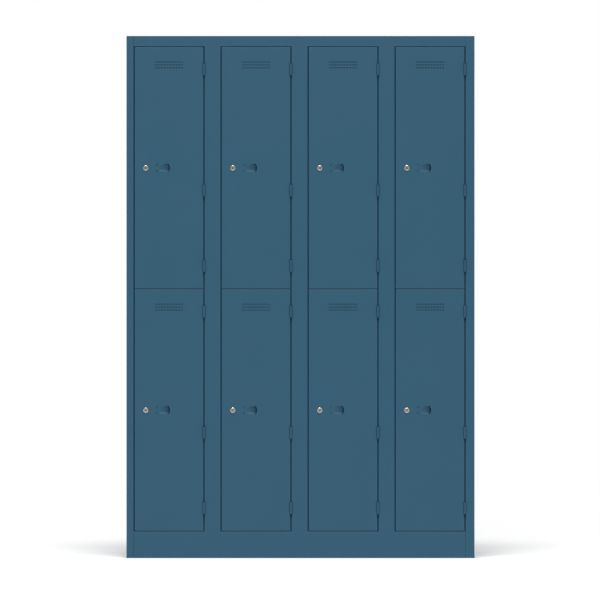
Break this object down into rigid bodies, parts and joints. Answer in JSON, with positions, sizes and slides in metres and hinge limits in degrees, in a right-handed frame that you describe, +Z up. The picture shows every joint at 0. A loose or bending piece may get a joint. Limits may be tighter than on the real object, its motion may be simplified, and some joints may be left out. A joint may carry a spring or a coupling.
{
  "type": "school locker",
  "caption": "Free-standing nest of steel school lockers, two tiers high, with vented hinged doors, pressed finger pulls, cam locks and a closed plinth.",
  "frame": {"origin": "on the floor, under the middle of the nest's footprint", "axes": "+X to the right seen from the front, +Y towards the back, +Z up; the doors face -Y"},
  "size_m": [1.2, 0.507, 1.8],
  "materials": {
    "powder_coat": "semi-matt blue-grey powder coat",
    "lock_nickel": "satin nickel plate",
    "lock_cam_steel": "zinc-plated pressed steel",
    "hinge_pin_steel": "bright steel pin, painted over at its ends",
    "hook_steel": "zinc-plated wire and plate",
    "rubber_buffer": "black moulded rubber"
  },
  "bodies": {
    "root": {"side_panel_left": "powder_coat", "side_panel_right": "powder_coat", "back_panel": "powder_coat", "top_panel": "powder_coat", "base_panel": "powder_coat", "plinth_front": "powder_coat", "mullion_1": "powder_coat", "mullion_2": "powder_coat", "mullion_3": "powder_coat", "partition_1": "powder_coat", "partition_2": "powder_coat", "partition_3": "powder_coat", "divider_shelf_1": "powder_coat", "divider_shelf_2": "powder_coat", "divider_shelf_3": "powder_coat", "divider_shelf_4": "powder_coat", "hinge_frame_leaves": "powder_coat", "hinge_pins": "hinge_pin_steel", "door_buffers": "rubber_buffer", "coat_hooks": "hook_steel"},
    "door_1_lower": {"door_panel_1_lower": "powder_coat", "door_hinge_leaves_1_lower": "powder_coat", "lock_housing_1_lower": "lock_nickel"},
    "lock_1_lower": {"lock_plug_1_lower": "lock_nickel", "lock_cam_1_lower": "lock_cam_steel"},
    "door_2_lower": {"door_panel_2_lower": "powder_coat", "door_hinge_leaves_2_lower": "powder_coat", "lock_housing_2_lower": "lock_nickel"},
    "lock_2_lower": {"lock_plug_2_lower": "lock_nickel", "lock_cam_2_lower": "lock_cam_steel"},
    "door_3_lower": {"door_panel_3_lower": "powder_coat", "door_hinge_leaves_3_lower": "powder_coat", "lock_housing_3_lower": "lock_nickel"},
    "lock_3_lower": {"lock_plug_3_lower": "lock_nickel", "lock_cam_3_lower": "lock_cam_steel"},
    "door_4_lower": {"door_panel_4_lower": "powder_coat", "door_hinge_leaves_4_lower": "powder_coat", "lock_housing_4_lower": "lock_nickel"},
    "lock_4_lower": {"lock_plug_4_lower": "lock_nickel", "lock_cam_4_lower": "lock_cam_steel"},
    "door_1_upper": {"door_panel_1_upper": "powder_coat", "door_hinge_leaves_1_upper": "powder_coat", "lock_housing_1_upper": "lock_nickel"},
    "lock_1_upper": {"lock_plug_1_upper": "lock_nickel", "lock_cam_1_upper": "lock_cam_steel"},
    "door_2_upper": {"door_panel_2_upper": "powder_coat", "door_hinge_leaves_2_upper": "powder_coat", "lock_housing_2_upper": "lock_nickel"},
    "lock_2_upper": {"lock_plug_2_upper": "lock_nickel", "lock_cam_2_upper": "lock_cam_steel"},
    "door_3_upper": {"door_panel_3_upper": "powder_coat", "door_hinge_leaves_3_upper": "powder_coat", "lock_housing_3_upper": "lock_nickel"},
    "lock_3_upper": {"lock_plug_3_upper": "lock_nickel", "lock_cam_3_upper": "lock_cam_steel"},
    "door_4_upper": {"door_panel_4_upper": "powder_coat", "door_hinge_leaves_4_upper": "powder_coat", "lock_housing_4_upper": "lock_nickel"},
    "lock_4_upper": {"lock_plug_4_upper": "lock_nickel", "lock_cam_4_upper": "lock_cam_steel"}
  },
  "joints": [
    {"name": "door_1_lower_swing", "type": "hinge", "parent": "root", "child": "door_1_lower", "pos_m": [-0.33275, -0.252, 0.0935], "axis": [0, 0, 1], "range_deg": [0, 170]},
    {"name": "lock_1_lower_turn", "type": "hinge", "parent": "door_1_lower", "child": "lock_1_lower", "pos_m": [-0.5333, -0.25, 0.51], "axis": [0, 1, 0], "range_deg": [0, 90]},
    {"name": "door_2_lower_swing", "type": "hinge", "parent": "root", "child": "door_2_lower", "pos_m": [-0.03275, -0.252, 0.0935], "axis": [0, 0, 1], "range_deg": [0, 170]},
    {"name": "lock_2_lower_turn", "type": "hinge", "parent": "door_2_lower", "child": "lock_2_lower", "pos_m": [-0.2333, -0.25, 0.51], "axis": [0, 1, 0], "range_deg": [0, 90]},
    {"name": "door_3_lower_swing", "type": "hinge", "parent": "root", "child": "door_3_lower", "pos_m": [0.26725, -0.252, 0.0935], "axis": [0, 0, 1], "range_deg": [0, 170]},
    {"name": "lock_3_lower_turn", "type": "hinge", "parent": "door_3_lower", "child": "lock_3_lower", "pos_m": [0.0667, -0.25, 0.51], "axis": [0, 1, 0], "range_deg": [0, 90]},
    {"name": "door_4_lower_swing", "type": "hinge", "parent": "root", "child": "door_4_lower", "pos_m": [0.56725, -0.252, 0.0935], "axis": [0, 0, 1], "range_deg": [0, 170]},
    {"name": "lock_4_lower_turn", "type": "hinge", "parent": "door_4_lower", "child": "lock_4_lower", "pos_m": [0.3667, -0.25, 0.51], "axis": [0, 1, 0], "range_deg": [0, 90]},
    {"name": "door_1_upper_swing", "type": "hinge", "parent": "root", "child": "door_1_upper", "pos_m": [-0.33275, -0.252, 0.9285], "axis": [0, 0, 1], "range_deg": [0, 170]},
    {"name": "lock_1_upper_turn", "type": "hinge", "parent": "door_1_upper", "child": "lock_1_upper", "pos_m": [-0.5333, -0.25, 1.345], "axis": [0, 1, 0], "range_deg": [0, 90]},
    {"name": "door_2_upper_swing", "type": "hinge", "parent": "root", "child": "door_2_upper", "pos_m": [-0.03275, -0.252, 0.9285], "axis": [0, 0, 1], "range_deg": [0, 170]},
    {"name": "lock_2_upper_turn", "type": "hinge", "parent": "door_2_upper", "child": "lock_2_upper", "pos_m": [-0.2333, -0.25, 1.345], "axis": [0, 1, 0], "range_deg": [0, 90]},
    {"name": "door_3_upper_swing", "type": "hinge", "parent": "root", "child": "door_3_upper", "pos_m": [0.26725, -0.252, 0.9285], "axis": [0, 0, 1], "range_deg": [0, 170]},
    {"name": "lock_3_upper_turn", "type": "hinge", "parent": "door_3_upper", "child": "lock_3_upper", "pos_m": [0.0667, -0.25, 1.345], "axis": [0, 1, 0], "range_deg": [0, 90]},
    {"name": "door_4_upper_swing", "type": "hinge", "parent": "root", "child": "door_4_upper", "pos_m": [0.56725, -0.252, 0.9285], "axis": [0, 0, 1], "range_deg": [0, 170]},
    {"name": "lock_4_upper_turn", "type": "hinge", "parent": "door_4_upper", "child": "lock_4_upper", "pos_m": [0.3667, -0.25, 1.345], "axis": [0, 1, 0], "range_deg": [0, 90]}
  ]
}
